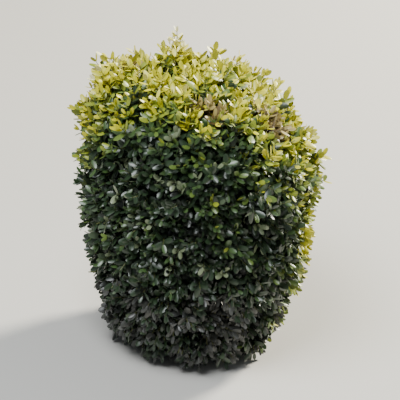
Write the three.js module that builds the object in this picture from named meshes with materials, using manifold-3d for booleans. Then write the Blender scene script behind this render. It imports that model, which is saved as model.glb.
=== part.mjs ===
// A field-grown box topiary ball: one clipped crown of small leaves on a short stem that forks just
// above the ground into five boughs. Millimetres, +Z up. The origin is the centre of the flat cut
// under the stem, at ground level.
import * as THREE from "three";
import { mergeVertices } from "three/addons/utils/BufferGeometryUtils.js";
import Module from "manifold-3d";

const wasm = await Module();
wasm.setup();

// The clipped crown: a full-shouldered dome on a rounded skirt that narrows to the ground
const CROWN_WIDTH = 390;
const CROWN_TOP = 466;
const CROWN_FOOT = 6; // the lowest leaves clear the ground by this much
const WIDEST_HEIGHT = 280;
const SHOULDER_POWER = 3.2; // above 2 the shoulder is fuller than an ellipse's
const SHOULDER_SWING = 1.1; // how much fuller or slighter it is on one side
const FULL_SHOULDER = 180; // the bearing of the full side
const SKIRT_POWER = 2;
const SKIRT_DEPTH = 380; // from the widest height to where the skirt's curve would close
const FOOT_RADIUS = 137; // where that curve meets the ground
const CLIP_WAVES = [
  { turns: 3, perHeight: 0.011, phase: 0.8, reach: 4 },
  { turns: 5, perHeight: -0.019, phase: 2.9, reach: 3 },
  { turns: 8, perHeight: 0.031, phase: 5.1, reach: 2 },
];

// The core that the leaves stand out of, and the bare hollow under it
const CORE_INSET = 19; // below the clipped surface
const CORE_FOOT = 13;
const CORE_AROUND = 16;
const CORE_UP = 10;
const HOLLOW_RADIUS = 86;
const HOLLOW_TOP = 150;
const HOLLOW_SIDES = 12;
const HOLLOW_STEPS = 5;

// The stem and its fork
const FLARE_RADIUS = 21;
const STEM_RADIUS = 13;
const FLARE_FADE = 14; // height over which the flare falls to about a third
const ROOT_LOBES = 5;
const ROOT_LOBE_DEPTH = 0.16; // share of the flare's radius
const LEADER_BASE = 58; // height where the stem has become its leader
const LEADER_END = 72;
const LEADER_RADIUS = 8;
const STEM_LEAN = new THREE.Vector2(4, -3); // how far the fork stands off the foot
const STEM_SIDES = 20;
const STEM_STEPS = 8;

// The boughs
const BOUGH_BEARINGS = [12, 88, 157, 232, 301];
const BOUGH_LOWEST_FORK = 34;
const BOUGH_FORK_STEP = 4; // each bough leaves the stem this much above the last
const BOUGH_RADIUS = 7.5;
const BOUGH_TIP_RADIUS = 5;
const BOUGH_TIP_REACH = 70; // from the stem's axis
const BOUGH_TIP_HEIGHT = 142;
const BOUGH_BEND = { reach: 43, rise: 42 }; // of the curve's control point, from the fork
const STUB_LENGTH = 25; // of each bough, left on the stem
const SOCKET_START = 0.9; // share of a bough's length where the core closes round it
const LIMB_SIDES = 10;

// The growth rule: every order ends in tips that share the clipped surface evenly at its own depth,
// and each tip grows from the nearest tip of the order before.
const ORDERS = [
  { tips: 12, inset: 110, radius: 5 },
  { tips: 36, inset: 62, radius: 3.6 },
  { tips: 96, inset: 13, radius: 2.6 },
];
const GOLDEN_TURN = Math.PI * (3 - Math.sqrt(5));
const TIP_WANDER = 0.12; // radians
const TIP_FOOT = 12; // no tip ends lower
const CROWN_STEM_TOP = 300;
const LOWEST_TWIG = 170; // on the crown's stem, clear of the boughs
const TWIG_STEP = 26;

// A shoot that outgrew the last clipping, and the heights where its leaves leave it
const SPRIG = { bearing: 125, rootReach: 74, root: 398, topReach: 94, top: 474 };
const SPRIG_LEAVES = [
  { height: 452, open: 55, size: 0.5 },
  { height: 462, open: 40, size: 0.55 },
  { height: 468, open: 12, size: 0.5 },
];

// The leaves, each larger than life because it stands for a spray
const LEAF_LENGTH = 48;
const LEAF_WIDTH = 29;
const LEAF_THICKNESS = 2.4;
const LEAF_BELLY = 0.44; // where along its length a leaf is widest
const LEAF_CUP = 3; // how far the edges stand above the midrib
const LEAF_PAIRS = [
  { back: 12, spread: 66, size: 1 },
  { back: 2, spread: 68, size: 0.92 },
];
const END_LEAF = { back: 2, size: 0.62 };
const CLIPPED_SIZES = [1, 0.86, 0.72, 0.6, 0.5]; // a leaf past the clipped surface is cut back
const TWIG_RUN_ON = 6; // how far a shoot's twig runs on inside its end leaf

const GAP = 0.3; // between two solids that meet
const MERGE_DISTANCE = 1e-3;
const NEARLY_ZERO = 1e-6;
const SEED = 20260;

const UP = new THREE.Vector3(0, 0, 1);
const CROWN_CENTRE = new THREE.Vector3(0, 0, WIDEST_HEIGHT);
const FOOT_RISE = -Math.atan2(WIDEST_HEIGHT - CROWN_FOOT, FOOT_RADIUS); // from there to the foot's rim

const materials = {
  bark: new THREE.MeshStandardMaterial({ color: 0x6f6453, roughness: 0.9, metalness: 0 }),
  leaf: new THREE.MeshStandardMaterial({ color: 0x56692f, roughness: 0.45, metalness: 0 }),
};

// A seeded random number from 0 to 1 (mulberry32)
function seededRandom(seed) {
  let state = seed >>> 0;
  return () => {
    state = (state + 0x6d2b79f5) >>> 0;
    let mixed = Math.imul(state ^ (state >>> 15), state | 1);
    mixed ^= mixed + Math.imul(mixed ^ (mixed >>> 7), mixed | 61);
    return ((mixed ^ (mixed >>> 14)) >>> 0) / 4294967296;
  };
}

const radians = THREE.MathUtils.degToRad;

function directionOf(bearing, rise) {
  const level = Math.cos(rise);
  return new THREE.Vector3(level * Math.cos(bearing), level * Math.sin(bearing), Math.sin(rise));
}

// How far the clipped surface lies from the crown's centre in a direction, with no ground to stop it
function clippedReach(direction) {
  const level = Math.hypot(direction.x, direction.y);
  const bearing = Math.atan2(direction.y, direction.x);
  const above = direction.z >= 0;
  const halfHeight = above ? CROWN_TOP - WIDEST_HEIGHT : SKIRT_DEPTH;
  const swing = SHOULDER_SWING * Math.cos(bearing - radians(FULL_SHOULDER));
  const power = above ? SHOULDER_POWER + swing : SKIRT_POWER;
  const widthTerm = (level / (CROWN_WIDTH / 2)) ** power;
  const heightTerm = (Math.abs(direction.z) / halfHeight) ** power;
  const plain = (widthTerm + heightTerm) ** (-1 / power);

  const height = WIDEST_HEIGHT + plain * direction.z;
  return CLIP_WAVES.reduce((reach, wave) => {
    const turn = wave.turns * bearing + wave.perHeight * height + wave.phase;
    return reach + level * wave.reach * Math.sin(turn);
  }, plain);
}

// The point an inset's depth under the clipped surface, no lower than a foot
function crownPoint(direction, inset, foot) {
  const toFoot = direction.z < 0 ? (WIDEST_HEIGHT - foot) / -direction.z : Infinity;
  const reach = Math.min(clippedReach(direction) - inset, toFoot);
  return CROWN_CENTRE.clone().addScaledVector(direction, reach);
}

function insideCrown(point) {
  const offset = point.clone().sub(CROWN_CENTRE);
  const distance = offset.length();
  return point.z >= CROWN_FOOT && distance <= clippedReach(offset.divideScalar(distance));
}

// Directions in a golden-angle spiral that share the clipped surface evenly, from its foot to its top
function evenDirections(count, random) {
  const bands = 240; // for summing the area
  const areas = [];
  for (let band = 0; band < bands; band += 1) {
    const low = THREE.MathUtils.lerp(FOOT_RISE, Math.PI / 2, band / bands);
    const high = THREE.MathUtils.lerp(FOOT_RISE, Math.PI / 2, (band + 1) / bands);
    const lowEdge = crownPoint(directionOf(Math.PI / 2, low), 0, CROWN_FOOT);
    const highEdge = crownPoint(directionOf(Math.PI / 2, high), 0, CROWN_FOOT);
    areas.push((lowEdge.y + highEdge.y) * lowEdge.distanceTo(highEdge));
  }
  const total = areas.reduce((sum, area) => sum + area, 0);
  const directions = [];
  let passed = 0;
  areas.forEach((area, band) => {
    while (directions.length < count && passed + area >= (total * (directions.length + 0.5)) / count) {
      const within = ((total * (directions.length + 0.5)) / count - passed) / area;
      const rise = THREE.MathUtils.lerp(FOOT_RISE, Math.PI / 2, (band + within) / bands);
      const bearing = directions.length * GOLDEN_TURN + TIP_WANDER * (random() - 0.5);
      directions.push(directionOf(bearing, rise + TIP_WANDER * (random() - 0.5)));
    }
    passed += area;
  });
  return directions;
}

// A closed solid from a three.js geometry
function solidFrom(geometry) {
  geometry.deleteAttribute("normal");
  geometry.deleteAttribute("uv");
  const closed = mergeVertices(geometry, MERGE_DISTANCE);
  const solid = new wasm.Mesh({
    numProp: 3,
    vertProperties: closed.attributes.position.array,
    triVerts: new Uint32Array(closed.index.array),
  });
  return new wasm.Manifold(solid);
}

function moveVertices(geometry, place) {
  const position = geometry.attributes.position;
  const vertex = new THREE.Vector3();
  for (let i = 0; i < position.count; i += 1) {
    place(vertex.fromBufferAttribute(position, i));
    position.setXYZ(i, vertex.x, vertex.y, vertex.z);
  }
  return geometry;
}

// The joined solid's largest piece: a scrap that floats free is dropped, and a hollow sealed by the
// joining is filled, because its wall is a piece of its own
function largestPiece(solid) {
  return solid.decompose().reduce((best, piece) => (piece.volume() > best.volume() ? piece : best));
}

function join(solids) {
  return solids.reduce((joined, solid) => joined.add(solid));
}

function meshOf(name, solid, material) {
  const { numProp, vertProperties, triVerts } = solid.getMesh();
  const places = new Float32Array((vertProperties.length / numProp) * 3);
  for (let i = 0; i < places.length / 3; i += 1) {
    places.set(vertProperties.subarray(i * numProp, i * numProp + 3), i * 3);
  }
  const geometry = new THREE.BufferGeometry();
  geometry.setAttribute("position", new THREE.BufferAttribute(places, 3));
  geometry.setIndex(new THREE.BufferAttribute(triVerts, 1));
  geometry.computeVertexNormals();
  const mesh = new THREE.Mesh(geometry, material);
  mesh.name = name;
  return mesh;
}

// One tapering limb along a stretch of a curve, with flat ends square to it
function limb(curve, { from, to, radiusAt, steps }) {
  const geometry = new THREE.CylinderGeometry(1, 1, 1, LIMB_SIDES, steps);
  const total = curve.getLength();
  moveVertices(geometry, (vertex) => {
    const along = THREE.MathUtils.lerp(from, to, vertex.y + 0.5);
    const centre = curve.getPointAt(along / total);
    const forward = curve.getTangentAt(along / total);
    const side = new THREE.Vector3(-forward.y, forward.x, 0);
    if (side.length() < NEARLY_ZERO) {
      side.set(0, 1, 0);
    }
    side.normalize();
    const across = new THREE.Vector3().crossVectors(side, forward);
    const radius = radiusAt(along);
    const x = vertex.x * radius;
    const z = vertex.z * radius;
    vertex.copy(centre).addScaledVector(across, x).addScaledVector(side, -z);
  });
  return solidFrom(geometry);
}

// The stem's foot: a flat cut at the ground, root lobes that fade out up the flare, then a slow taper
function stemColumn() {
  const geometry = new THREE.CylinderGeometry(1, 1, 1, STEM_SIDES, STEM_STEPS);
  moveVertices(geometry, (vertex) => {
    const height = (vertex.y + 0.5) * LEADER_END;
    const bearing = Math.atan2(vertex.z, vertex.x);
    const flare = Math.exp(-height / FLARE_FADE);
    const taper = THREE.MathUtils.lerp(STEM_RADIUS, LEADER_RADIUS, Math.min(1, height / LEADER_BASE));
    const lobes = 1 + ROOT_LOBE_DEPTH * flare * Math.cos(ROOT_LOBES * bearing);
    const radius = (taper + (FLARE_RADIUS - STEM_RADIUS) * flare) * lobes;
    const lean = leanAt(height);
    vertex.set(lean.x + vertex.x * radius, lean.y - vertex.z * radius, height);
  });
  return solidFrom(geometry);
}

function leanAt(height) {
  const share = Math.min(1, height / LEADER_BASE) ** 2;
  return new THREE.Vector2(STEM_LEAN.x * share, STEM_LEAN.y * share);
}

// A bough's centreline, from the stem's axis out and up to its tip under the crown
function boughCurve(index) {
  const bearing = radians(BOUGH_BEARINGS[index]);
  const forkHeight = BOUGH_LOWEST_FORK + BOUGH_FORK_STEP * index;
  const lean = leanAt(forkHeight);
  const out = directionOf(bearing, 0);
  const start = new THREE.Vector3(lean.x, lean.y, forkHeight);
  const bend = start.clone().addScaledVector(out, BOUGH_BEND.reach).addScaledVector(UP, BOUGH_BEND.rise);
  const tip = out.clone().multiplyScalar(BOUGH_TIP_REACH).setZ(BOUGH_TIP_HEIGHT);
  return new THREE.QuadraticBezierCurve3(start, bend, tip);
}

function boughRadius(curve) {
  const total = curve.getLength();
  return (along) => THREE.MathUtils.lerp(BOUGH_RADIUS, BOUGH_TIP_RADIUS, along / total);
}

function stem() {
  const stubs = BOUGH_BEARINGS.map((_, index) => {
    const curve = boughCurve(index);
    return limb(curve, { from: 0, to: STUB_LENGTH, radiusAt: boughRadius(curve), steps: 2 });
  });
  return join([stemColumn(), ...stubs]);
}

function bough(index, swell = 0) {
  const curve = boughCurve(index);
  const radiusAt = boughRadius(curve);
  return limb(curve, {
    from: STUB_LENGTH + GAP,
    to: curve.getLength(),
    radiusAt: (along) => radiusAt(along) + swell,
    steps: 6,
  });
}

// The room that the core leaves for a bough's tip, with the gap all round it and past its end
function boughSocket(index) {
  const curve = boughCurve(index);
  const end = curve.getPointAt(1).addScaledVector(curve.getTangentAt(1), GAP);
  const room = new THREE.LineCurve3(curve.getPointAt(SOCKET_START), end);
  const radius = boughRadius(curve)(SOCKET_START * curve.getLength()) + GAP;
  const swollen = limb(room, { from: 0, to: room.getLength(), radiusAt: () => radius, steps: 1 });
  return swollen.add(bough(index, GAP));
}

// A turned solid whose rings lie on rays from the crown's centre, pushed out to the core's own depth
function core() {
  const profile = [new THREE.Vector2(0, -1)];
  for (let ring = 0; ring < CORE_UP; ring += 1) {
    const rise = THREE.MathUtils.lerp(FOOT_RISE, Math.PI / 2, ring / CORE_UP);
    profile.push(new THREE.Vector2(Math.cos(rise), Math.sin(rise)));
  }
  profile.push(new THREE.Vector2(0, 1));
  const geometry = new THREE.LatheGeometry(profile, CORE_AROUND);
  moveVertices(geometry, (vertex) => {
    const direction = new THREE.Vector3(vertex.x, -vertex.z, vertex.y).normalize();
    vertex.copy(crownPoint(direction, CORE_INSET, CORE_FOOT));
  });
  return solidFrom(geometry);
}

// The bare space under the core, where the boughs rise from the fork
function hollow() {
  const profile = [new THREE.Vector2(0, 0), new THREE.Vector2(HOLLOW_RADIUS, 0)];
  for (let step = 0; step < HOLLOW_STEPS; step += 1) {
    const turn = (step / HOLLOW_STEPS) * (Math.PI / 2);
    const height = THREE.MathUtils.lerp(CROWN_FOOT, HOLLOW_TOP, Math.sin(turn));
    profile.push(new THREE.Vector2(HOLLOW_RADIUS * Math.cos(turn), height));
  }
  profile.push(new THREE.Vector2(0, HOLLOW_TOP));
  const geometry = new THREE.LatheGeometry(profile, HOLLOW_SIDES);
  geometry.rotateX(Math.PI / 2);
  return solidFrom(geometry);
}

// A three-sided twig that tapers to a point
function twig(root, tip, radius) {
  const length = root.distanceTo(tip);
  const geometry = new THREE.ConeGeometry(radius, length, 3);
  geometry.translate(0, length / 2, 0);
  const turn = new THREE.Quaternion().setFromUnitVectors(
    new THREE.Vector3(0, 1, 0),
    tip.clone().sub(root).normalize(),
  );
  geometry.applyQuaternion(turn);
  geometry.translate(root.x, root.y, root.z);
  return solidFrom(geometry);
}

// One leaf of eight faces: a flat lozenge, widest near its middle, with its edges cupped up
function leafShape(root, direction, upper, size) {
  const geometry = new THREE.OctahedronGeometry(1);
  const across = new THREE.Vector3().crossVectors(upper, direction).normalize();
  const face = new THREE.Vector3().crossVectors(direction, across);
  moveVertices(geometry, (vertex) => {
    const along = vertex.x < 0 ? 0 : vertex.x > 0 ? 1 : LEAF_BELLY;
    const lift = (vertex.z * LEAF_THICKNESS) / 2 + Math.abs(vertex.y) * LEAF_CUP;
    const wide = (vertex.y * LEAF_WIDTH * size) / 2;
    vertex
      .copy(root)
      .addScaledVector(direction, along * LEAF_LENGTH * size)
      .addScaledVector(across, wide)
      .addScaledVector(face, lift);
  });
  return geometry;
}

function leafFits(geometry) {
  const position = geometry.attributes.position;
  const vertex = new THREE.Vector3();
  for (let i = 0; i < position.count; i += 1) {
    if (!insideCrown(vertex.fromBufferAttribute(position, i))) {
      return false;
    }
  }
  return true;
}

// The largest cut of a leaf that stays inside the clipped surface, or none
function leaf(root, direction, upper, size) {
  const cuts = CLIPPED_SIZES.map((cut) => leafShape(root, direction, upper, size * cut));
  return cuts.find(leafFits);
}

// A shoot's leaves: crossed pairs that open outwards, and one leaf that carries the shoot's line on
function shootLeaves(tip, direction, roll) {
  const first = new THREE.Vector3().crossVectors(direction, UP);
  if (first.length() < NEARLY_ZERO) {
    first.set(1, 0, 0);
  }
  first.normalize().applyAxisAngle(direction, roll);
  const leaves = [];
  LEAF_PAIRS.forEach((pair, order) => {
    const root = tip.clone().addScaledVector(direction, -pair.back);
    for (const turn of [0, Math.PI]) {
      const out = first.clone().applyAxisAngle(direction, turn + (order * Math.PI) / 2);
      const open = radians(pair.spread);
      const along = direction.clone().multiplyScalar(Math.cos(open)).addScaledVector(out, Math.sin(open));
      leaves.push(leaf(root, along, direction, pair.size));
    }
  });
  const endRoot = tip.clone().addScaledVector(direction, -END_LEAF.back);
  leaves.push(leaf(endRoot, direction, first, END_LEAF.size));
  return leaves.filter(Boolean).map(solidFrom);
}

// The tips of every order, each with the point that it grows from
function growTips(random) {
  let feeders = [];
  for (let height = LOWEST_TWIG; height <= CROWN_STEM_TOP; height += TWIG_STEP) {
    feeders.push(new THREE.Vector3(0, 0, height));
  }
  return ORDERS.map((order) => {
    const tips = evenDirections(order.tips, random).map((direction) => {
      const end = crownPoint(direction, order.inset, TIP_FOOT);
      const root = feeders.reduce((best, feeder) =>
        feeder.distanceTo(end) < best.distanceTo(end) ? feeder : best,
      );
      return { root, end, radius: order.radius };
    });
    feeders = tips.map((tip) => tip.end);
    return tips;
  });
}

function crownStem() {
  const lean = leanAt(LEADER_END);
  const curve = new THREE.LineCurve3(
    new THREE.Vector3(lean.x, lean.y, LEADER_END + GAP),
    new THREE.Vector3(0, 0, CROWN_STEM_TOP),
  );
  const length = curve.getLength();
  const radiusAt = (along) => THREE.MathUtils.lerp(LEADER_RADIUS, BOUGH_TIP_RADIUS, along / length);
  return limb(curve, { from: 0, to: length, radiusAt, steps: 2 });
}

function sprig(random) {
  const out = directionOf(radians(SPRIG.bearing), 0);
  const root = out.clone().multiplyScalar(SPRIG.rootReach).setZ(SPRIG.root);
  const tip = out.clone().multiplyScalar(SPRIG.topReach).setZ(SPRIG.top);
  const direction = tip.clone().sub(root).normalize();
  const sideways = new THREE.Vector3().crossVectors(direction, out).normalize();
  const leaves = SPRIG_LEAVES.map(({ height, open, size }, order) => {
    const turn = Math.PI * (order + random() / 2);
    const away = sideways.clone().applyAxisAngle(direction, turn);
    const along = direction.clone().addScaledVector(away, Math.tan(radians(open))).normalize();
    const from = root.clone().lerp(tip, (height - SPRIG.root) / (SPRIG.top - SPRIG.root));
    return solidFrom(leafShape(from, along, direction, size));
  });
  return [twig(root, tip, ORDERS.at(-1).radius), ...leaves];
}

function foliage() {
  const random = seededRandom(SEED);
  const orders = growTips(random);
  const pieces = [];
  orders.forEach((tips, order) => {
    const last = order === orders.length - 1;
    for (const { root, end, radius } of tips) {
      const direction = end.clone().sub(root).normalize();
      const apex = end.clone().addScaledVector(direction, last ? TWIG_RUN_ON : 0);
      pieces.push(twig(root, apex, radius));
      if (last) {
        pieces.push(...shootLeaves(end, direction, Math.PI * random()));
      }
    }
  });
  pieces.push(...sprig(random));
  const sockets = BOUGH_BEARINGS.map((_, index) => boughSocket(index));
  const hollowCore = core().subtract(hollow());
  const joined = join([hollowCore, crownStem(), ...pieces]);
  return largestPiece(joined.subtract(join(sockets)));
}

const plant = new THREE.Group();
plant.add(meshOf("stem", stem(), materials.bark));
BOUGH_BEARINGS.forEach((_, index) => {
  plant.add(meshOf(`bough_${index + 1}`, bough(index), materials.bark));
});
plant.add(meshOf("foliage", foliage(), materials.leaf));

export default plant;
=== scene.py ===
# %% [markdown]
# This lesson dresses the solids of a clipped box ball with real bark, twigs and leaves.
# The plant grew in open ground, so it has no pot. A short stem forks just above the ground, and the
# crown above it is so dense that only its outer leaves show.
# The solids give every size. Blender only adds what is too fine for them: the relief of the bark,
# the finer twigs, and some thirty thousand small leaves.

import math

import bmesh
import bpy
import numpy as np
from mathutils import Matrix, Quaternion, Vector, noise


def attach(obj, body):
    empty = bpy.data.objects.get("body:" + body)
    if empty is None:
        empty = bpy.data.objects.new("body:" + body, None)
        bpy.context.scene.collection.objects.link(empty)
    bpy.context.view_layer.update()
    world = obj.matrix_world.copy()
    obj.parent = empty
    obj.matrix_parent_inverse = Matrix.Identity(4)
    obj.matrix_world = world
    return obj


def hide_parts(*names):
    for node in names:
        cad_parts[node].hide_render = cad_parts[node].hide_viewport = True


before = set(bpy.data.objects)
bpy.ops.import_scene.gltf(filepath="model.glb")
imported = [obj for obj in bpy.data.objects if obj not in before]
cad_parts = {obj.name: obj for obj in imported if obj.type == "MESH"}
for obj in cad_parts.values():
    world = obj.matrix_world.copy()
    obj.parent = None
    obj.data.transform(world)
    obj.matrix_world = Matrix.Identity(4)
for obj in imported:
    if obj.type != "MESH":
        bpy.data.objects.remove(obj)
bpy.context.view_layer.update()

# %% [markdown]
# The clipped surface is one formula, the same as in the source of the solids. From the crown's
# centre it tells how far the shears left the foliage in any direction: a dome with one shoulder
# fuller than the other, on a rounded skirt that narrows to the ground. A sculpted ball could have
# the same outline, but a formula can be asked for thousands of directions at once. Everything that
# grows below asks it where to stop, so the leaves fill the true outline and none is placed by hand.

# %% The clipped surface
CROWN_RADIUS = 0.195
CROWN_TOP = 0.466
CROWN_FOOT = 0.006
WIDEST_HEIGHT = 0.280
SHOULDER_POWER = 3.2
SHOULDER_SWING = 1.1
SKIRT_POWER = 2.0
SKIRT_DEPTH = 0.380
FOOT_RADIUS = 0.137
CLIP_WAVES = ((3, 11.0, 0.8, 0.004), (5, -19.0, 2.9, 0.003), (8, 31.0, 5.1, 0.002))
CROWN_CENTRE = np.array([0.0, 0.0, WIDEST_HEIGHT])
FOUR_WAYS = np.array([[1.0, 0, 0], [-1.0, 0, 0], [0, -1.0, 0], [0, 0, 1.0]])


def clipped_reach(directions):
    level = np.hypot(directions[:, 0], directions[:, 1])
    rise = directions[:, 2]
    bearing = np.arctan2(directions[:, 1], directions[:, 0])
    above = rise >= 0
    half_height = np.where(above, CROWN_TOP - WIDEST_HEIGHT, SKIRT_DEPTH)
    power = np.where(above, SHOULDER_POWER - SHOULDER_SWING * np.cos(bearing), SKIRT_POWER)
    plain = ((level / CROWN_RADIUS) ** power + (np.abs(rise) / half_height) ** power) ** (-1 / power)
    height = WIDEST_HEIGHT + plain * rise
    waves = sum(
        reach * np.sin(turns * bearing + per_metre * height + phase)
        for turns, per_metre, phase, reach in CLIP_WAVES
    )
    return plain + level * waves


print("Reach to the right, left, front and top:", clipped_reach(FOUR_WAYS).round(3))

# %% Points on and off the clipped surface
SHORTEST = 1e-9
SLOPE_STEP = 0.002


def crown_points(directions, inset, foot):
    with np.errstate(divide="ignore"):
        to_foot = np.where(directions[:, 2] < 0, (WIDEST_HEIGHT - foot) / -directions[:, 2], np.inf)
    reach = np.minimum(clipped_reach(directions) - inset, to_foot)
    return CROWN_CENTRE + directions * reach[:, None]


def outside_by(points):
    offset = points - CROWN_CENTRE
    distance = np.linalg.norm(offset, axis=1)
    return distance - clipped_reach(offset / distance[:, None])


def unit(vectors):
    return vectors / np.maximum(np.linalg.norm(vectors, axis=-1, keepdims=True), SHORTEST)


def outward_ways(points):
    slopes = [
        outside_by(points + SLOPE_STEP * way) - outside_by(points - SLOPE_STEP * way)
        for way in np.eye(3)
    ]
    return unit(np.stack(slopes, axis=1))


print("A point 1 metre up is outside by", outside_by(np.array([[0, 0, 1.0]])).round(3)[0], "metres")

# %% [markdown]
# A crown that is clipped every year answers each cut with two or more new shoots, so its tips end
# up spread evenly just under the clipped surface. Chance alone would leave bare spots and knots, so
# a golden-angle spiral places them: each tip turns by the same irrational angle from the last,
# which never lines two of them up. The rise of each tip comes from the area of the surface below
# it, so no zone is thin. The spiral starts at the foot, at a radius that each kind of tip chooses
# for itself.

# %% Even directions under the surface
GOLDEN_TURN = math.pi * (3 - math.sqrt(5))
TIP_WANDER = 0.12
BANDS = 240
TRIAL_TIPS = 500
rng = np.random.default_rng(20260)


def directions_of(bearing, rise):
    level = np.cos(rise)
    return np.stack([level * np.cos(bearing), level * np.sin(bearing), np.sin(rise)], axis=-1)


def even_directions(count, wander, foot_radius):
    lowest = -math.atan2(WIDEST_HEIGHT - CROWN_FOOT, foot_radius)
    rises = np.linspace(lowest, math.pi / 2, BANDS + 1)
    profile = crown_points(directions_of(np.full(BANDS + 1, math.pi / 2), rises), 0, CROWN_FOOT)
    steps = np.linalg.norm(np.diff(profile, axis=0), axis=1)
    areas = (profile[1:, 1] + profile[:-1, 1]) * steps
    passed = np.concatenate([[0], np.cumsum(areas)]) / areas.sum()
    tips = np.arange(count)
    rise = np.interp((tips + 0.5) / count, passed, rises)
    bearing = tips * GOLDEN_TURN
    return directions_of(
        bearing + wander * (rng.random(count) - 0.5), rise + wander * (rng.random(count) - 0.5)
    )


trial_ways = even_directions(TRIAL_TIPS, 0, FOOT_RADIUS)
lowest_rise = math.degrees(math.asin(trial_ways[:, 2].min()))
print("The lowest of", TRIAL_TIPS, "directions rises by", round(lowest_rise, 1), "degrees")

# %% [markdown]
# The growth rule is also the source's own. Every order of twigs ends in tips at its own depth, and
# each tip grows from the nearest tip of the order before. Hair or particles could scatter twigs
# faster, but they wouldn't join up, and an exported model loses them. The source stops at leaves
# that stand for whole sprays. Here the orders hold more and finer twigs, and the rule goes on to
# one more order, the leafy shoots.

# %% Curves for the twigs
UP = np.array([0.0, 0.0, 1.0])
TWIG_SAG = 0.10


def nearest(points, feeders):
    gaps = np.linalg.norm(points[:, None, :] - feeders[None, :, :], axis=2)
    return gaps.argmin(axis=1)


def sagging_bends(roots, tips, sag):
    length = np.linalg.norm(tips - roots, axis=1, keepdims=True)
    return (roots + tips) / 2 - length * sag * UP


def curve_points(roots, bends, tips, share):
    near, far = 1 - share, share
    points = near**2 * roots + 2 * near * far * bends + far**2 * tips
    forward = unit(near * (bends - roots) + far * (tips - bends))
    return points, forward


level_bend = sagging_bends(np.zeros((1, 3)), FOUR_WAYS[:1], TWIG_SAG)
print("A level twig 1 metre long bends at", level_bend[0].round(2))

# %% Grow three orders of twigs
LEADER_HEIGHTS = np.arange(0.170, 0.301, 0.026)
ORDERS = (
    {"tips": 14, "inset": 0.110, "thick": 0.0050, "thin": 0.0034},
    {"tips": 60, "inset": 0.075, "thick": 0.0034, "thin": 0.0023},
    {"tips": 380, "inset": 0.046, "thick": 0.0021, "thin": 0.0013},
)
TIP_FOOT = 0.014
BOUGH_BEARINGS = np.radians([12, 88, 157, 232, 301])
BOUGH_TIP_REACH = 0.070
BOUGH_TIP_HEIGHT = 0.142
leader = LEADER_HEIGHTS[:, None] * UP
bough_ways = directions_of(BOUGH_BEARINGS, np.zeros_like(BOUGH_BEARINGS))
bough_tips = bough_ways * BOUGH_TIP_REACH + BOUGH_TIP_HEIGHT * UP
feeders = np.concatenate([leader, bough_tips])
twig_orders = []
for order in ORDERS:
    ways = even_directions(order["tips"], TIP_WANDER, FOOT_RADIUS)
    tips = crown_points(ways, order["inset"], TIP_FOOT)
    roots = feeders[nearest(tips, feeders)]
    twig_orders.append((roots, sagging_bends(roots, tips, TWIG_SAG), tips))
    feeders = tips
    mean_length = np.linalg.norm(tips - roots, axis=1).mean()
    print("Order with", order["tips"], "tips, mean length", mean_length.round(3))

# %% [markdown]
# No clipping is quite even. Since the last one the left shoulder has grown out a little, and the
# right shoulder was cut a little harder. A soft swelling and a soft hollow over the formula make
# that, for the leafy shoots only, as the twigs below them are older.

# %% Growth since the last clipping
REGROWTHS = (
    {"way": (-0.77, 0.0, 0.64), "height": 0.016},
    {"way": (0.60, 0.10, 0.79), "height": -0.022},
)
REGROWTH_SPREAD = 0.42


def regrown(directions):
    lift = np.zeros(len(directions))
    for regrowth in REGROWTHS:
        away = (directions - unit(np.array(regrowth["way"]))) / REGROWTH_SPREAD
        lift += regrowth["height"] * np.exp(-(away**2).sum(1))
    return lift


print("Regrowth to the right, left, front and top:", regrown(FOUR_WAYS).round(4))

# %% [markdown]
# The leafy shoots leave their parent at different points along it, because a real twig branches all
# along its outer part. Most end a little below the clipped surface, deeper between two twigs than
# over one, and slow noise presses in shallow dents, so the crown has dark pockets. A few stand
# proud, as shoots do that grew since the last cut. Near the ground they end close under the surface,
# and the lowest end on its underside, just inside the rim, so the skirt has leaves down to the
# ground.

# %% How deep each leafy shoot ends
SHOOTS = 3000
SHOOT_WANDER = 0.05
UNDERSIDE_RADIUS = 0.112
SHOOT_DEPTHS = (0.009, 0.036)
DEPTH_BIAS = 1.8
VALLEY_START = 0.010
VALLEY_SLOPE = 1.0
DENT_SIZE = 0.026
DENT_DEPTH = 0.038
DENT_SEED = (3.1, 5.2, 0.7)
LOW_DEPTH = 0.15
FULL_DEPTH_ABOVE = 0.090


def slow_noise(points, size, offset):
    return np.array([noise.noise(Vector(point / size) + Vector(offset)) for point in points])


shoot_ways = even_directions(SHOOTS, SHOOT_WANDER, UNDERSIDE_RADIUS)
depth = SHOOT_DEPTHS[0] + (SHOOT_DEPTHS[1] - SHOOT_DEPTHS[0]) * rng.random(SHOOTS) ** DEPTH_BIAS
parent_roots, parent_bends, parent_tips = twig_orders[-1]
flat_tips = crown_points(shoot_ways, ORDERS[-1]["inset"], TIP_FOOT)
parent = nearest(flat_tips, parent_tips)
from_parent = np.linalg.norm(flat_tips - parent_tips[parent], axis=1)
depth += VALLEY_SLOPE * np.maximum(0, from_parent - VALLEY_START)
depth += DENT_DEPTH * np.maximum(0, slow_noise(flat_tips, DENT_SIZE, DENT_SEED))
depth *= LOW_DEPTH + (1 - LOW_DEPTH) * np.clip(flat_tips[:, 2] / FULL_DEPTH_ABOVE, 0, 1)
print("Mean depth of the shoots' ends, metres:", depth.mean().round(4))

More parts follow.
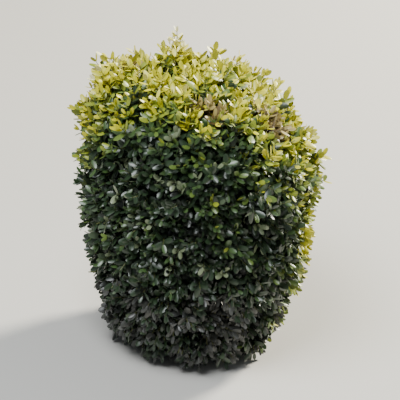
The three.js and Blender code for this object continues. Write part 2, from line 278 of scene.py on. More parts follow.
# %% Grow the leafy shoots
PROUD_SHARE = 0.07
PROUD_ABOVE = 0.1
PROUD_DEPTHS = (-0.007, 0.003)
SHOOTS_START = (0.45, 1.0)
proud = (rng.random(SHOOTS) < PROUD_SHARE) & (shoot_ways[:, 2] > PROUD_ABOVE)
depth = np.where(proud, rng.uniform(*PROUD_DEPTHS, SHOOTS), depth)
shoot_tips = crown_points(shoot_ways, depth - regrown(shoot_ways), TIP_FOOT)
along_parent = rng.uniform(*SHOOTS_START, SHOOTS)[:, None]
shoot_roots, _ = curve_points(
    parent_roots[parent], parent_bends[parent], parent_tips[parent], along_parent
)
print("Shoots:", SHOOTS, "of which stand proud:", int(proud.sum()))

# %% [markdown]
# One tuft on the crest has escaped the shears. It stands up behind and left of the middle, a few
# pale young shoots above the rest. They grow from the same order of twigs as their neighbours, only
# longer, so they are added to the list of shoots and get their leaves by the same rule.

# %% Add the tuft that was never clipped
TUFT_BEARING = math.radians(125)
TUFT_REACH = 0.094
TUFT_TOP = 0.490
TUFT_SHOOTS = 9
TUFT_SPREAD = 0.016
TUFT_DROP = 1.7
SHOOT_SAG = 0.06
turns = np.arange(TUFT_SHOOTS) * GOLDEN_TURN
spread = TUFT_SPREAD * np.sqrt(np.arange(TUFT_SHOOTS) / TUFT_SHOOTS)
tuft_tips = np.stack(
    [
        TUFT_REACH * math.cos(TUFT_BEARING) + spread * np.cos(turns),
        TUFT_REACH * math.sin(TUFT_BEARING) + spread * np.sin(turns),
        TUFT_TOP - TUFT_DROP * spread,
    ],
    axis=1,
)
tuft_roots = parent_tips[nearest(tuft_tips, parent_tips)]
shoot_roots = np.concatenate([shoot_roots, tuft_roots])
shoot_tips = np.concatenate([shoot_tips, tuft_tips])
shoot_bends = sagging_bends(shoot_roots, shoot_tips, SHOOT_SAG)
depth = np.concatenate([depth, np.zeros(TUFT_SHOOTS)])
proud = np.concatenate([proud, np.ones(TUFT_SHOOTS, dtype=bool)])
in_tuft = np.arange(len(shoot_tips)) >= SHOOTS
print("Tuft tips reach", tuft_tips[:, 2].max().round(3), "metres")

# %% [markdown]
# Thousands of twigs are too many to model one by one. So a fine and a stout tube are modelled with
# operators, each a circle whose edge is extruded ring by ring, and then copied as arrays of numbers.
# Each copy is bent along its own curve, which sags first and then rises, as a twig does that grows
# towards the light.
# A curve's own side comes from a cross product with one slanting direction, which no twig follows.
# An extrusion may leave its faces in another order in each run, so they are sorted as they are read.

# %% Model one tube and read it as arrays
TUBE_STEPS = 4
FINE_SIDES = 3
STOUT_SIDES = 6


def only(kind, items):
    return [item for item in items if isinstance(item, kind)]


def tube(ring_count, corners):
    bm = bmesh.new()
    bmesh.ops.create_circle(bm, cap_ends=True, segments=corners, radius=1.0)
    ring = bm.edges[:]
    for _ in range(ring_count):
        made = bmesh.ops.extrude_edge_only(bm, edges=ring)["geom"]
        ring = only(bmesh.types.BMEdge, made)
        new_corners = only(bmesh.types.BMVert, made)
        bmesh.ops.translate(bm, vec=(0, 0, 1 / ring_count), verts=new_corners)
    bmesh.ops.contextual_create(bm, geom=ring)
    bmesh.ops.recalc_face_normals(bm, faces=bm.faces[:])
    return bm


def pattern_of(bm):
    bm.verts.index_update()
    faces = sorted(bm.faces, key=lambda face: sorted(vert.index for vert in face.verts))
    sizes = np.array([len(face.verts) for face in faces])
    pattern = {
        "points": np.array([vert.co[:] for vert in bm.verts]),
        "loops": np.array([vert.index for face in faces for vert in face.verts]),
        "starts": np.concatenate([[0], np.cumsum(sizes)[:-1]]),
        "materials": np.array([face.material_index for face in faces]),
        "triangles": int((sizes - 2).sum()),
    }
    bm.free()
    return pattern


fine_tube = pattern_of(tube(TUBE_STEPS, FINE_SIDES))
stout_tube = pattern_of(tube(TUBE_STEPS, STOUT_SIDES))
print("Triangles in a fine and a stout tube:", fine_tube["triangles"], stout_tube["triangles"])

# %% Join many copies into one piece
SHARP_FOLD = math.radians(70)


def placed(name, data):
    thing = bpy.data.objects.new(name, data)
    bpy.context.scene.collection.objects.link(thing)
    return thing


def joined_copies(name, pattern, places, materials):
    copies, corners = places.shape[:2]
    numbers = np.arange(copies)[:, None]
    mesh = bpy.data.meshes.new(name)
    loops = (pattern["loops"] + corners * numbers).ravel()
    starts = (pattern["starts"] + len(pattern["loops"]) * numbers).ravel()
    slots = np.tile(pattern["materials"], copies)
    mesh.vertices.add(copies * corners)
    mesh.loops.add(len(loops))
    mesh.polygons.add(len(starts))
    mesh.vertices.foreach_set("co", places.astype(np.float32).ravel())
    mesh.loops.foreach_set("vertex_index", loops.astype(np.int32))
    mesh.polygons.foreach_set("loop_start", starts.astype(np.int32))
    mesh.polygons.foreach_set("material_index", slots.astype(np.int32))
    mesh.polygons.foreach_set("use_smooth", np.ones(len(starts), dtype=bool))
    mesh.update(calc_edges=True)
    mesh.validate()
    mesh.set_sharp_from_angle(angle=SHARP_FOLD)
    for material in materials:
        mesh.materials.append(material)
    print(name, "has", copies, "copies and", copies * pattern["triangles"], "triangles")
    return placed(name, mesh)


# %% Bend tubes along their curves
SLANT = np.array([0.31, 0.17, 0.93])


def bent_tubes(pattern, roots, bends, tips, thick, thin):
    share = pattern["points"][None, :, 2:3]
    points, forward = curve_points(roots[:, None], bends[:, None], tips[:, None], share)
    side = unit(np.cross(forward, SLANT))
    across = np.cross(forward, side)
    radius = thick + (thin - thick) * share
    ring = pattern["points"][None]
    return points + radius * (ring[..., 0:1] * side + ring[..., 1:2] * across)


tube_points = [len(pattern["points"]) for pattern in (fine_tube, stout_tube)]
print("Points to bend in a fine and a stout tube:", tube_points)

# %% [markdown]
# Colours come first as plain materials. A box leaf is leathery, with a soft wax gloss above and a
# paler, duller face beneath. On the real plant each leaf is almost one colour, and the crown looks
# mottled because its sprays differ: the growth on the sunny crest is yellow-green with cream tips,
# and the older leaves on the sides are a deep blue-green. The tones also carry painted light: the
# crest's yellow and cream are partly painted sunlight, the dark tones of the sides partly painted
# shade, and the near-black leaves inside are painted shade. The pale grey-green of some shaded
# sprays is a painted reflection of the sky on their wax, tan and bronze are leaves that frost has
# marked, and dusty ones grow near the ground, where rain splashes them. A noise pattern could mottle
# one material, but it would run across the leaves. So each tone is a plain material, and later whole
# sprays are given a tone. Plain sockets also survive the export exactly. Colours are written as a
# screen shows them, and the usual formula makes them the linear values that Blender mixes.

# %% A plain material
WAX_ROUGHNESS = 0.35


def paint(red, green, blue):
    channels = np.array([red, green, blue]) / 255
    linear = np.where(channels <= 0.04045, channels / 12.92, ((channels + 0.055) / 1.055) ** 2.4)
    return (*linear.tolist(), 1.0)


def plain_material(name, colour, roughness, coat=0.0):
    material = bpy.data.materials.new(name)
    material.use_nodes = True
    shader = material.node_tree.nodes["Principled BSDF"]
    shader.inputs["Base Color"].default_value = paint(*colour)
    shader.inputs["Roughness"].default_value = roughness
    shader.inputs["Coat Weight"].default_value = coat
    shader.inputs["Coat Roughness"].default_value = WAX_ROUGHNESS
    return material


print("Middle grey as a linear value:", round(paint(128, 128, 128)[0], 3))

# %% Leaf tones and young wood
LEAF_TONES = {
    "ivory": {"above": (246, 242, 190), "below": (238, 234, 186), "gloss": 0.1},
    "cream": {"above": (228, 220, 100), "below": (212, 208, 118), "gloss": 0.15},
    "yellow": {"above": (192, 188, 34), "below": (178, 176, 64), "gloss": 0.2},
    "lime": {"above": (138, 150, 44), "below": (140, 150, 74), "gloss": 0.3},
    "green": {"above": (92, 114, 48), "below": (116, 130, 80), "gloss": 0.4},
    "deep": {"above": (60, 84, 42), "below": (98, 114, 78), "gloss": 0.5},
    "dusk": {"above": (37, 55, 32), "below": (80, 94, 70), "gloss": 0.5},
    # Near-black: painted shade inside the crown.
    "inner_shade": {"above": (18, 28, 16), "below": (42, 52, 36), "gloss": 0.3},
    # Pale grey-green: a painted reflection of the sky on shaded sprays.
    "sky_sheen": {"above": (118, 129, 98), "below": (132, 141, 112), "gloss": 0.5},
    "tan": {"above": (162, 146, 88), "below": (168, 156, 112), "gloss": 0.2},
    "bronze": {"above": (92, 74, 36), "below": (118, 104, 70), "gloss": 0.3},
    "dusty": {"above": (71, 72, 68), "below": (100, 100, 95), "gloss": 0.1},
}
LEAF_ROUGHNESS = 0.42
UNDERSIDE_ROUGHNESS = 0.62
YOUNG_WOOD_COLOUR = (90, 94, 50)
YOUNG_WOOD_ROUGHNESS = 0.6
leaf_materials = {
    tone: (
        plain_material(f"{tone} leaf", look["above"], LEAF_ROUGHNESS, look["gloss"]),
        plain_material(f"{tone} leaf underside", look["below"], UNDERSIDE_ROUGHNESS),
    )
    for tone, look in LEAF_TONES.items()
}
young_wood = plain_material("young shoot", YOUNG_WOOD_COLOUR, YOUNG_WOOD_ROUGHNESS)
print("Leaf tones:", ", ".join(leaf_materials))

# %% [markdown]
# The bark of old box is grey-brown and corky, split into small plates by fine fissures that run
# along the limb. A picture of bark would need unwrapping and would show its seams at every fork, so
# the pattern is made of noise. Stretched noise gives the fissures, a second noise the weathered
# patches, and the same fissures lift the surface as a bump, so dark lines lie in the grooves. The
# Mix node has one set of sockets for each kind of value, so those for colours go by number.

# %% Tones and sizes of the bark
BARK_ROUGHNESS = 0.85
FISSURE_STRETCH = 0.22
FISSURES_PER_METRE = 620.0
FISSURE_DETAIL = 5.0
PATCHES_PER_METRE = 60.0
FISSURE_TONE = {"at": 0.36, "colour": (52, 43, 34)}
PLATE_TONE = {"at": 0.66, "colour": (146, 132, 110)}
WEATHERED_COLOUR = (110, 112, 92)
BUMP_STRENGTH = 0.6
BUMP_HEIGHT = 0.0008
print("Fissures are about", round(1000 / FISSURES_PER_METRE, 1), "mm apart")

# %% Bark material
MIX_SHARE = 0
MIX_FIRST = 6
MIX_SECOND = 7
MIX_RESULT = 2


def add_node(nodes, kind, **values):
    node = nodes.new(kind)
    for socket, value in values.items():
        node.inputs[socket].default_value = value
    return node


def bark_material():
    material = bpy.data.materials.new("old bark")
    material.use_nodes = True
    nodes = material.node_tree.nodes
    links = material.node_tree.links
    shader = nodes["Principled BSDF"]
    shader.inputs["Roughness"].default_value = BARK_ROUGHNESS
    place = nodes.new("ShaderNodeTexCoord")
    stretch = add_node(nodes, "ShaderNodeMapping", Scale=(1.0, 1.0, FISSURE_STRETCH))
    fissures = add_node(nodes, "ShaderNodeTexNoise", Scale=FISSURES_PER_METRE, Detail=FISSURE_DETAIL)
    patches = add_node(nodes, "ShaderNodeTexNoise", Scale=PATCHES_PER_METRE)
    grain = nodes.new("ShaderNodeValToRGB")
    for stop, tone in zip(grain.color_ramp.elements, (FISSURE_TONE, PLATE_TONE)):
        stop.position = tone["at"]
        stop.color = paint(*tone["colour"])
    weather = nodes.new("ShaderNodeMix")
    weather.data_type = "RGBA"
    weather.inputs[MIX_SECOND].default_value = paint(*WEATHERED_COLOUR)
    bump = add_node(nodes, "ShaderNodeBump", Strength=BUMP_STRENGTH, Distance=BUMP_HEIGHT)
    links.new(place.outputs["Object"], stretch.inputs["Vector"])
    links.new(stretch.outputs["Vector"], fissures.inputs["Vector"])
    links.new(place.outputs["Object"], patches.inputs["Vector"])
    links.new(fissures.outputs["Fac"], grain.inputs["Fac"])
    links.new(grain.outputs["Color"], weather.inputs[MIX_FIRST])
    links.new(patches.outputs["Fac"], weather.inputs[MIX_SHARE])
    links.new(weather.outputs[MIX_RESULT], shader.inputs["Base Color"])
    links.new(fissures.outputs["Fac"], bump.inputs["Height"])
    links.new(bump.outputs["Normal"], shader.inputs["Normal"])
    return material


bark = bark_material()
print("Nodes in the bark:", len(bark.node_tree.nodes))

# %% [markdown]
# The stem and its five boughs are one living surface: bark has no seams at a fork. Each limb is
# swept as a ring that is extruded along its curve, and the limbs are left running into one another.
# A union would join them with hard creases, so a voxel remesh melts them into one skin with soft
# crotches. Then every point moves along its normal, inwards at a fissure and outwards at a knot.
# Sizes and curves are those of the solids.

# %% Sizes of the stem
LEADER_BASE = np.array([0.004, -0.003, 0.0])
STEM_RADIUS = 0.013
FLARE_RADIUS = 0.021
FLARE_FADE = 0.014
ROOT_LOBES = 5
ROOT_LOBE_DEPTH = 0.16
LEADER_BEND_HEIGHT = 0.058
LEADER_RADIUS = 0.008
LEADER_TOP = 0.300
LEADER_TOP_RADIUS = 0.005


def lean_at(height):
    return LEADER_BASE * min(1.0, height / LEADER_BEND_HEIGHT) ** 2


def stem_radius(height):
    taper = STEM_RADIUS + (LEADER_RADIUS - STEM_RADIUS) * min(1.0, height / LEADER_BEND_HEIGHT)
    return taper + (FLARE_RADIUS - STEM_RADIUS) * math.exp(-max(0.0, height) / FLARE_FADE)


stem_ends = [round(stem_radius(height), 4) for height in (0.0, LEADER_BEND_HEIGHT)]
print("Stem radius at the ground and at the bend, metres:", stem_ends)

# %% Sweep the stem
BELOW_CUT = 0.006
STEM_TOP = LEADER_BEND_HEIGHT + 0.016
STEM_RING_STEP = 0.004
STEM_SIDES = 40


def ring_place(centre, forward, radius):
    turn = Vector(forward).to_track_quat("Z", "Y")
    return Matrix.LocRotScale(Vector(centre), turn, Vector((radius, radius, radius)))


def sweep_limb(bm, centres, radii, corners):
    forwards = np.gradient(np.asarray(centres), axis=0)
    places = [ring_place(*ring) for ring in zip(centres, forwards, radii)]
    made = bmesh.ops.create_circle(bm, cap_ends=True, segments=corners, radius=1.0, matrix=places[0])
    ring = made["verts"][0].link_faces[0].edges[:]
    for before, after in zip(places, places[1:]):
        grown = bmesh.ops.extrude_edge_only(bm, edges=ring)["geom"]
        ring = only(bmesh.types.BMEdge, grown)
        new_corners = only(bmesh.types.BMVert, grown)
        bmesh.ops.transform(bm, matrix=after @ before.inverted(), verts=new_corners)
    bmesh.ops.contextual_create(bm, geom=ring)


limbs = bmesh.new()
stem_heights = np.arange(-BELOW_CUT, STEM_TOP, STEM_RING_STEP)
stem_centres = [lean_at(max(0.0, height)) + height * UP for height in stem_heights]
sweep_limb(limbs, stem_centres, [stem_radius(height) for height in stem_heights], STEM_SIDES)
for vert in limbs.verts:
    offset = vert.co.xy - Vector(lean_at(max(0.0, vert.co.z))[:2])
    lobe = math.cos(ROOT_LOBES * math.atan2(offset.y, offset.x))
    swell = ROOT_LOBE_DEPTH * math.exp(-max(0.0, vert.co.z) / FLARE_FADE) * lobe
    vert.co.xy += offset * swell
print("Swept stem:", len(limbs.faces), "faces")

# %% Sweep the five boughs
LOWEST_FORK = 0.034
FORK_STEP = 0.004
BOUGH_RADIUS = 0.0075
BOUGH_TIP_RADIUS = 0.005
BOUGH_BEND_OUT = 0.043
BOUGH_BEND_UP = 0.042
BOUGH_RINGS = 22
BOUGH_SIDES = 20
along_bough = np.linspace(0, 1, BOUGH_RINGS)
bough_radii = BOUGH_RADIUS + (BOUGH_TIP_RADIUS - BOUGH_RADIUS) * along_bough
for index, (out, end) in enumerate(zip(bough_ways, bough_tips)):
    fork = LOWEST_FORK + FORK_STEP * index
    start = lean_at(fork) + fork * UP
    bend = start + out * BOUGH_BEND_OUT + BOUGH_BEND_UP * UP
    centres, _ = curve_points(start, bend, end, along_bough[:, None])
    sweep_limb(limbs, centres, bough_radii, BOUGH_SIDES)
bmesh.ops.recalc_face_normals(limbs, faces=limbs.faces[:])
print("Swept stem and boughs:", len(limbs.faces), "faces")

# %% Melt the limbs into one skin
VOXEL = 0.0013
SMOOTHING = 0.5


def remeshed(bm, name, voxel):
    rough = bpy.data.meshes.new(name + " rough")
    bm.to_mesh(rough)
    bm.free()
    body = placed(name + " rough", rough)
    melt = body.modifiers.new("melt", "REMESH")
    melt.mode = "VOXEL"
    melt.voxel_size = voxel
    seen = body.evaluated_get(bpy.context.evaluated_depsgraph_get())
    skin = bmesh.new()
    skin.from_mesh(seen.to_mesh())
    seen.to_mesh_clear()
    bpy.data.objects.remove(body)
    bpy.data.meshes.remove(rough)
    return skin


wood = remeshed(limbs, "wood", VOXEL)
every_axis = {"use_axis_x": True, "use_axis_y": True, "use_axis_z": True}
bmesh.ops.smooth_vert(wood, verts=wood.verts[:], factor=SMOOTHING, **every_axis)
print("Remeshed wood:", len(wood.faces), "faces")

# %% Raise the relief of the bark
RELIEF = 0.0009
RIDGES_PER_METRE = 260
RIDGE_STRETCH = 0.27
RIDGE_SHARPNESS = 2.2
KNOTS_PER_METRE = 45
RIDGE_SHARE = 0.55
KNOT_SHARE = 0.7
wood.normal_update()
moves = []
for vert in wood.verts:
    grain = RIDGES_PER_METRE * Vector((vert.co.x, vert.co.y, vert.co.z * RIDGE_STRETCH))
    ridge = 1 - abs(noise.noise(grain)) * RIDGE_SHARPNESS
    knots = noise.noise(vert.co * KNOTS_PER_METRE)
    moves.append(vert.normal * RELIEF * (RIDGE_SHARE * (ridge - 1) + KNOT_SHARE * knots))
for vert, move in zip(wood.verts, moves):
    vert.co += move
print("The relief moves points by up to", round(max(move.length for move in moves), 5), "metres")

# %% Cut the wood flat at the ground and finish it
FACING_DOWN = -0.999
geometry = wood.verts[:] + wood.edges[:] + wood.faces[:]
cut = bmesh.ops.bisect_plane(
    wood, geom=geometry, plane_co=(0, 0, 0), plane_no=(0, 0, 1), clear_inner=True
)
rim = only(bmesh.types.BMEdge, cut["geom_cut"])
bmesh.ops.contextual_create(wood, geom=rim)
bmesh.ops.recalc_face_normals(wood, faces=wood.faces[:])
for face in wood.faces:
    on_the_cut = face.normal.z < FACING_DOWN and face.calc_center_median().z < RELIEF
    face.smooth = not on_the_cut
wood_mesh = bpy.data.meshes.new("stem_and_boughs")
wood.to_mesh(wood_mesh)
wood.free()
wood_mesh.materials.append(bark)
stem_and_boughs = placed("stem_and_boughs", wood_mesh)
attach(stem_and_boughs, "root")
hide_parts("stem", "bough_1", "bough_2", "bough_3", "bough_4", "bough_5")
print("Wood lies from", round(min(vert.co.z for vert in wood_mesh.vertices), 4), "up")

# %% [markdown]
# Inside the crown the leader runs on, and the twigs of the first three orders fan out from it and
# from the bough tips. The foliage hides nearly all of them, so plain bent tubes are enough.
# The leafy shoots are thinner and still green, so they get the young wood's colour.

# %% Make the twigs and shoots
SHOOT_THICK = 0.0012
SHOOT_THIN = 0.0006
LEADER_START = 0.008
leader_root = np.array([[LEADER_BASE[0], LEADER_BASE[1], LEADER_BEND_HEIGHT + LEADER_START]])
leader_tip = np.array([[0.0, 0.0, LEADER_TOP]])
leader_bend = (leader_root + leader_tip) / 2
twig_places = [
    bent_tubes(stout_tube, leader_root, leader_bend, leader_tip, LEADER_RADIUS, LEADER_TOP_RADIUS)
]
for order, (roots, bends, tips) in zip(ORDERS, twig_orders):
    twig_places.append(bent_tubes(stout_tube, roots, bends, tips, order["thick"], order["thin"]))
inner_twigs = joined_copies("inner_twigs", stout_tube, np.concatenate(twig_places), [bark])

shoot_places = bent_tubes(
    fine_tube, shoot_roots, shoot_bends, shoot_tips, SHOOT_THICK, SHOOT_THIN
)
leafy_shoots = joined_copies("leafy_shoots", fine_tube, shoot_places, [young_wood])
for piece in (inner_twigs, leafy_shoots):
    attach(piece, "root")
    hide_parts("foliage")

# %% [markdown]
# One box leaf is a small oval blade, about twice as long as wide and broadest near its middle, with
# edges that curl down slightly from the midrib. It starts as a grid of two by five faces. Moving
# its rows makes the outline, merging the pinched ends closes it, and a flipped copy below makes it
# a thin lens, so it has a true underside with a colour of its own. A flat card with a picture of a
# leaf would be lighter, but it has no edge and no outline of its own. The leaf is repeated thirty
# thousand times, so it has no more faces than its rounded outline needs.

# %% Model one leaf
LEAF_SLIMNESS = 0.50
BLUNTNESS = 0.93
LEAF_ROWS = 5
LEAF_THICKNESS = 0.045
UPPER_SHARE = 0.3
EDGE_DROOP = 0.07
TIP_DROOP = 0.12
MERGE = 1e-5


def one_leaf():
    bm = bmesh.new()
    bmesh.ops.create_grid(bm, x_segments=2, y_segments=LEAF_ROWS, size=0.5)
    for vert in bm.verts:
        around = math.pi * (vert.co.y + 0.5)
        side = vert.co.x * 2
        width = math.sin(around) ** BLUNTNESS if MERGE < around < math.pi - MERGE else 0.0
        along = (1 - math.cos(around)) / 2
        vert.co.x = side * width * LEAF_SLIMNESS / 2
        vert.co.y = along
        vert.co.z = -EDGE_DROOP * abs(side) * width - TIP_DROOP * along**2
    below = bmesh.ops.duplicate(bm, geom=bm.verts[:] + bm.edges[:] + bm.faces[:])["geom"]
    lower_faces = only(bmesh.types.BMFace, below)
    lower_verts = set(only(bmesh.types.BMVert, below))
    for face in lower_faces:
        face.material_index = 1
    bmesh.ops.reverse_faces(bm, faces=lower_faces)
    for vert in bm.verts:
        on_midrib = abs(vert.co.x) < MERGE and MERGE < vert.co.y < 1 - MERGE
        if on_midrib:
            vert.co.z += LEAF_THICKNESS * (UPPER_SHARE - 1 if vert in lower_verts else UPPER_SHARE)
    bmesh.ops.remove_doubles(bm, verts=bm.verts[:], dist=MERGE)
    return bm


leaf = pattern_of(one_leaf())
print("One leaf:", len(leaf["points"]), "points and", leaf["triangles"], "triangles")

# %% [markdown]
# Box carries its leaves in opposite pairs, each pair turned a quarter from the last, a few
# millimetres apart. The youngest pair is small and nearly closed, and older ones open wider. Each
# leaf also twists its upper face towards the light, outwards and up. A leaf whose end would pass
# the clipped surface is left out, as the shears would have taken it. On a shoot that stands proud
# it may pass further, and the tuft keeps all of its leaves.

# %% A direction and a leaf length for each shoot
LEAF_LENGTHS = (0.0160, 0.0240)
TUFT_LEAF_LENGTH = 0.0165


def shoot_frames(roots, bends, tips):
    _, forward = curve_points(roots, bends, tips, 1.0)
    roll = rng.uniform(0, 2 * math.pi, len(tips))[:, None]
    first = unit(np.cross(forward, SLANT))
    second = np.cross(forward, first)
    return forward, np.cos(roll) * first + np.sin(roll) * second


forward, first = shoot_frames(shoot_roots, shoot_bends, shoot_tips)
outward = outward_ways(shoot_tips)
lengths = np.where(in_tuft, TUFT_LEAF_LENGTH, rng.uniform(*LEAF_LENGTHS, len(shoot_tips)))
print("Mean leaf length of the shoots, metres:", lengths.mean().round(4))

# %% Place the leaves on their shoots
PAIRS = 5
PAIR_GAP = 0.0074
PAIR_JITTER = 0.35
YOUNGEST_OPENING = 22
OLDEST_OPENING = 68
OPENING_POWER = 0.6
OPENING_WANDER = 0.16
ALONG_WANDER = 0.12
YOUNGEST_SIZE = 0.66
FULL_SIZE_AGE = 0.5
SIZE_RANGE = (0.88, 1.1)
FACE_FORWARD = 0.4
FACE_OUTWARD = 0.45
FACE_UPWARD = 0.35
FACE_WANDER = 0.32


def leaf_rows(tips, forward, outward, first, lengths):
    count = len(tips)
    rows = []
    for pair in range(PAIRS):
        age = pair / (PAIRS - 1)
        back = PAIR_GAP * (pair + PAIR_JITTER * rng.random(count))
        stem = tips - forward * back[:, None]
        quarter = first if pair % 2 == 0 else np.cross(forward, first)
        opened = (OLDEST_OPENING - YOUNGEST_OPENING) * age**OPENING_POWER
        opening = math.radians(YOUNGEST_OPENING + opened)
        grown = YOUNGEST_SIZE + (1 - YOUNGEST_SIZE) * min(1.0, age / FULL_SIZE_AGE)
        for side in (1, -1):
            open_by = (opening + rng.normal(0, OPENING_WANDER, count))[:, None]
            wander = rng.normal(0, ALONG_WANDER, (count, 3))
            along = unit(np.cos(open_by) * forward + side * np.sin(open_by) * quarter + wander)
            face = FACE_FORWARD * forward + FACE_OUTWARD * outward + FACE_UPWARD * UP
            face = face + rng.normal(0, FACE_WANDER, (count, 3))
            face = unit(face - along * (face * along).sum(1, keepdims=True))
            size = lengths * grown * rng.uniform(*SIZE_RANGE, count)
            rows.append((stem, along, face, size, np.full(count, age), np.arange(count)))
    return [np.concatenate(column) for column in zip(*rows)]


stems, alongs, faces, sizes, ages, shoot_numbers = leaf_rows(
    shoot_tips, forward, outward, first, lengths
)
print("Leaves set out:", len(stems))

# %% Clip the leaves
LOWEST_LEAF = 0.002
SHEAR_SLACK = 0.0025
PROUD_SLACK = 0.018
ends = stems + alongs * sizes[:, None]
slack = np.where(proud[shoot_numbers], PROUD_SLACK, SHEAR_SLACK * rng.random(len(ends)))
past_surface = outside_by(ends) - regrown(unit(ends - CROWN_CENTRE))
kept = (past_surface < slack) | in_tuft[shoot_numbers]
kept &= (ends[:, 2] > LOWEST_LEAF) & (stems[:, 2] > LOWEST_LEAF)
print("Leaves kept:", int(kept.sum()), "of", len(kept))

# %% [markdown]
# Each spray now gets a score that runs from dark to light. It stands for ripeness and for painted
# light at once: growth in the sun ripens to yellow while leaves in the shade stay dark, and the same
# score paints the plant's sunlight and shade into the leaf colours. So how far the clipped surface
# faces up, and back and right towards the sun, decides most of it. The crest and both rims get more,
# as painted light, because light reaches them from two sides. Sprays that sit deep between their
# neighbours get less, which is painted shade. Slow noise shifts whole groups of sprays, so the
# change is broken up as it is on the plant, with no hard border.

# %% Score each spray, with painted sunlight and shade
# Painted sunlight and shade: these lighten the tones of sprays that face up, back and right, and
# darken the rest.
SUNNY_WAY = unit(np.array([0.16, 0.38, 0.91]))
SIDE_SHADE = 0.15
RIGHT_RIM_SHIFT = 0.55
LEFT_RIM_SHIFT = 0.80
RIM_POWER = 3
SHOULDER_FROM = 0.26
CREST_FROM = 0.370
CREST_FULL = 0.450
CREST_SHIFT = 0.20
RIPEST_AND_SUNNIEST = 0.90
DEPTH_SHADE = 14.0
FULL_LIGHT_DEPTH = 0.014
GROUP_SIZE = 0.060
GROUP_SEED = (15.9, 30.4, 9.7)
GROUP_SHIFT = 0.45
SPRAY_SHIFT = 0.18
TUFT_RIPENESS = 1.45


def rising(heights, start, full):
    return np.clip((heights - start) / (full - start), 0, 1)


tip_heights = shoot_tips[:, 2]
right_rim = np.maximum(0, outward[:, 0]) ** RIM_POWER
left_rim = np.maximum(0, -outward[:, 0]) ** RIM_POWER
# The score paints light and shade: facing the sun lightens a spray, and facing away darkens it.
ripeness_and_light = (outward * SUNNY_WAY).sum(1) - SIDE_SHADE
# Painted light on both rims and on the crest.
ripeness_and_light += RIGHT_RIM_SHIFT * right_rim
ripeness_and_light += LEFT_RIM_SHIFT * left_rim * rising(tip_heights, SHOULDER_FROM, CREST_FROM)
ripeness_and_light += CREST_SHIFT * rising(tip_heights, CREST_FROM, CREST_FULL)
ripeness_and_light = np.minimum(ripeness_and_light, RIPEST_AND_SUNNIEST)
# Painted shade: sprays that sit deep in the crown get darker tones.
ripeness_and_light -= DEPTH_SHADE * np.maximum(0, depth - FULL_LIGHT_DEPTH)
ripeness_and_light += GROUP_SHIFT * slow_noise(shoot_tips, GROUP_SIZE, GROUP_SEED)
ripeness_and_light += rng.normal(0, SPRAY_SHIFT, len(shoot_tips))
ripeness_and_light = np.where(in_tuft, TUFT_RIPENESS, ripeness_and_light)
print("Scores of the sprays run from", ripeness_and_light.min().round(2), "to", ripeness_and_light.max().round(2))

# %% [markdown]
# Within a spray the young leaves at the tip are lighter than the old ones below them. So each leaf
# starts from the score of its spray, young ones gain and old ones lose, and a little chance comes
# on top. A row of limits turns the scores into tones. Below the first limit lie near-black leaves,
# painted shade deep in the crown. What passes the last limit is ivory, the palest tips of the crest,
# young growth lit further by painted sunlight.

# %% Turn the scores into tones
# The lowest tone is painted shade, and the top tones carry painted sunlight.
TONE_LIMITS = (
    ("inner_shade", -0.85),
    ("dusk", -0.12),
    ("deep", 0.17),
    ("green", 0.36),
    ("lime", 0.68),
    ("yellow", 1.26),
    ("cream", 1.55),
)
AGE_SHIFT = 0.95
MIDDLE_AGE = 0.35
LEAF_SHIFT = 0.12
score = ripeness_and_light[shoot_numbers] + AGE_SHIFT * (MIDDLE_AGE - ages)
score += rng.normal(0, LEAF_SHIFT, len(ages))
tone_names = [tone for tone, _ in TONE_LIMITS] + ["ivory", "sky_sheen", "tan", "bronze", "dusty"]
tones = np.searchsorted([limit for _, limit in TONE_LIMITS], score)
light = tones >= tone_names.index("green")
print("Share of the leaves that are green or lighter:", light.mean().round(2))

# %% [markdown]
# Three kinds of spray break the rule. Frost has burnt two patches on the near side of the crest and
# a few behind it: their young leaves are tan and their old ones bronze. Some shaded sprays get a
# pale grey-green on their young leaves, a painted reflection of the sky on their wax. And near the
# ground a share of the sprays is dull with dust.

# %% Frost
FROST_PATCHES = (((0.003, -0.105, 0.430), 0.027), ((0.102, -0.056, 0.398), 0.034))
FROST_EDGE = (0.7, 1.2)
FROST_SIZE = 0.032
FROST_SEED = (7.3, 1.9, 4.4)
FROST_LIMIT = 0.50
FROST_ABOVE = 0.33
BRONZE_AGE = 0.5


def change_tones(chosen, tone):
    tones[chosen] = tone_names.index(tone)


frosted = slow_noise(shoot_tips, FROST_SIZE, FROST_SEED) > FROST_LIMIT
frosted &= (tip_heights > FROST_ABOVE) & (shoot_tips[:, 1] > 0)
for place, radius in FROST_PATCHES:
    distance = np.linalg.norm(shoot_tips - place, axis=1)
    frosted |= distance < radius * rng.uniform(*FROST_EDGE, len(shoot_tips))
frosted_leaves = frosted[shoot_numbers] & (tones >= tone_names.index("deep"))
change_tones(frosted_leaves & (ages < BRONZE_AGE), "tan")
change_tones(frosted_leaves & (ages >= BRONZE_AGE), "bronze")
print("Leaves marked by frost:", int((kept & frosted_leaves).sum()))

# %% Painted sky reflection and dust
SHEEN_SIZE = 0.014
SHEEN_SEED = (2.2, 8.1, 6.3)
SHEEN_LIMIT = 0.36
SHEEN_AGE = 0.5
DUSTY_BELOW = 0.15
DUSTY_SHARE = 0.42
# Painted reflection: young leaves of some shaded sprays turn pale grey-green, as if they mirrored
# the sky.
pale = slow_noise(shoot_tips, SHEEN_SIZE, SHEEN_SEED) > SHEEN_LIMIT
pale &= tip_heights > DUSTY_BELOW
sheen_leaves = pale[shoot_numbers] & (ages < SHEEN_AGE) & (tones <= tone_names.index("green"))
change_tones(sheen_leaves, "sky_sheen")

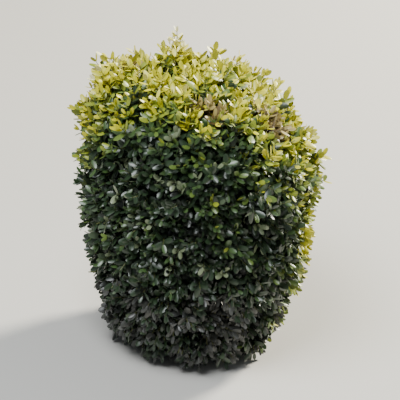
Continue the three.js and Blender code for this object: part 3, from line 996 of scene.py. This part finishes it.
dusty = (tip_heights < DUSTY_BELOW) & (rng.random(len(shoot_tips)) < DUSTY_SHARE)
change_tones(dusty[shoot_numbers] & (tones <= tone_names.index("deep")), "dusty")
for number, tone in enumerate(tone_names):
    print(tone, int((kept & (tones == number)).sum()))

# %% [markdown]
# The leaves of one tone become pieces of at most six thousand leaves. The pattern is turned and
# sized for all of them at once: its width, length and height are laid off along three directions
# that belong to each leaf, and added up.

# %% Make the leaves
LEAVES_PER_PIECE = 6000


def leaf_places(stems, alongs, faces, sizes):
    across = np.cross(alongs, faces)
    shape = leaf["points"][None] * sizes[:, None, None]
    return (
        stems[:, None]
        + shape[..., 0:1] * across[:, None]
        + shape[..., 1:2] * alongs[:, None]
        + shape[..., 2:3] * faces[:, None]
    )


def leaf_pieces(tone, chosen):
    for part, start in enumerate(range(0, len(chosen), LEAVES_PER_PIECE), 1):
        some = chosen[start : start + LEAVES_PER_PIECE]
        places = leaf_places(stems[some], alongs[some], faces[some], sizes[some])
        piece = joined_copies(f"leaves_{tone}_{part}", leaf, places, leaf_materials[tone])
        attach(piece, "root")
        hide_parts("foliage")


for number, tone in enumerate(tone_names):
    leaf_pieces(tone, np.flatnonzero(kept & (tones == number)))

# %% [markdown]
# The plant stands on a plain pale floor, a disc, so that no corner of it shows from any side. A soft
# lamp behind and to the right is the studio's version of the low sun: it lights the crest and the
# right rim and leaves the near side in shade. A weak, wide lamp overhead and a faint light from all
# around fill that shade, so that the dark leaves stay readable. The camera looks down at the
# photograph's angle, from a standing eye's height, with a longer lens so that the plant fills the
# frame. It is rolled a little, because the plant leans that way in the photograph, where the wide
# lens shows it away from the middle.

# %% Floor
FLOOR_RADIUS = 5.0
FLOOR_SIDES = 128
FLOOR_COLOUR = (196, 194, 188)
FLOOR_ROUGHNESS = 0.9
floor_bm = bmesh.new()
bmesh.ops.create_circle(floor_bm, cap_ends=True, segments=FLOOR_SIDES, radius=FLOOR_RADIUS)
floor_mesh = bpy.data.meshes.new("floor")
floor_bm.to_mesh(floor_mesh)
floor_bm.free()
floor_mesh.materials.append(plain_material("pale floor", FLOOR_COLOUR, FLOOR_ROUGHNESS))
floor = placed("floor", floor_mesh)
print("The floor is", 2 * FLOOR_RADIUS, "metres across")

# %% World
WORLD_COLOUR = (0.86, 0.92, 1.0, 1.0)
WORLD_STRENGTH = 0.22
world = bpy.data.worlds.new("studio")
bpy.context.scene.world = world
world.use_nodes = True
backdrop = world.node_tree.nodes["Background"]
backdrop.inputs["Color"].default_value = WORLD_COLOUR
backdrop.inputs["Strength"].default_value = WORLD_STRENGTH
print("The light from all around has strength", WORLD_STRENGTH)

# %% Lamps
LAMPS = {
    "low sun": {
        "place": (3.1, 3.0, 2.7),
        "target": (0, 0, 0.3),
        "size": 0.9,
        "watts": 800,
        "colour": (1.0, 0.95, 0.82),
    },
    "overhead": {
        "place": (-0.6, -1.0, 2.3),
        "target": (0, 0, 0.2),
        "size": 1.3,
        "watts": 80,
        "colour": (0.94, 0.97, 1.0),
    },
}


def soft_lamp(name, place, target, size, watts, colour):
    data = bpy.data.lights.new(name, "AREA")
    data.shape = "DISK"
    data.size = size
    data.energy = watts
    data.color = colour
    lamp = placed(name, data)
    lamp.location = place
    lamp.rotation_euler = (Vector(target) - Vector(place)).to_track_quat("-Z", "Y").to_euler()
    print("Lamp", name, "has", watts, "watts")


for name, lamp_look in LAMPS.items():
    soft_lamp(name, **lamp_look)

# %% Camera
EYE_HEIGHT = 1.55
EYE_DISTANCE = 2.78
LOOK_AT = Vector((0.0, 0.0, 0.24))
FRAME_WIDTH = 0.63
SENSOR_WIDTH = 36.0
CAMERA_ROLL = math.radians(4)
eye = Vector((0.0, -EYE_DISTANCE, EYE_HEIGHT))
sight = LOOK_AT - eye
camera_data = bpy.data.cameras.new("camera")
camera_data.sensor_width = SENSOR_WIDTH
camera_data.lens = SENSOR_WIDTH * sight.length / FRAME_WIDTH
camera = placed("camera", camera_data)
camera.location = eye
level_view = sight.to_track_quat("-Z", "Y")
camera.rotation_euler = (level_view @ Quaternion((0, 0, 1), CAMERA_ROLL)).to_euler()
bpy.context.scene.camera = camera
print("Camera looks down by", round(math.degrees(math.atan2(-sight.z, EYE_DISTANCE)), 1), "degrees")
